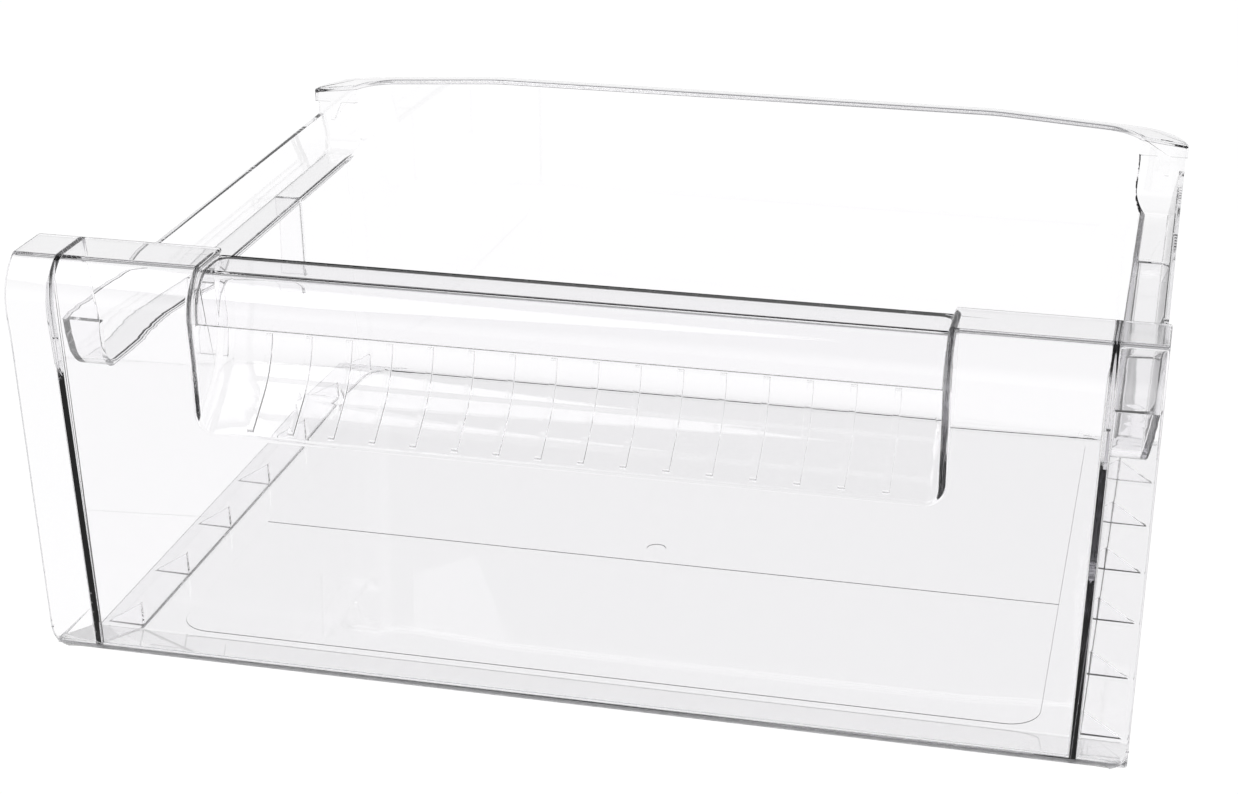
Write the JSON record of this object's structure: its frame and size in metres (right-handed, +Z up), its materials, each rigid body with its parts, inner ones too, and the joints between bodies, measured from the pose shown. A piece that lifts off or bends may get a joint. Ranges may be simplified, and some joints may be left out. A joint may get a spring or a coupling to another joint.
{
  "type": "freezer drawer",
  "caption": "Clear moulded freezer drawer with a curved front, a recessed finger handle with a ribbed scoop, stepped side rims and runner flanges along the bottom.",
  "frame": {"origin": "under the middle of the drawer's outer box, on the surface that it stands on", "axes": "+X to the right as seen from the front, +Y towards the rear wall, +Z up"},
  "size_m": [0.46, 0.381, 0.191],
  "materials": {
    "clear_plastic": "clear, colourless, high-gloss moulded styrene plastic with a faint cool tint"
  },
  "bodies": {
    "root": {"freezer_drawer": "clear_plastic"}
  },
  "joints": []
}
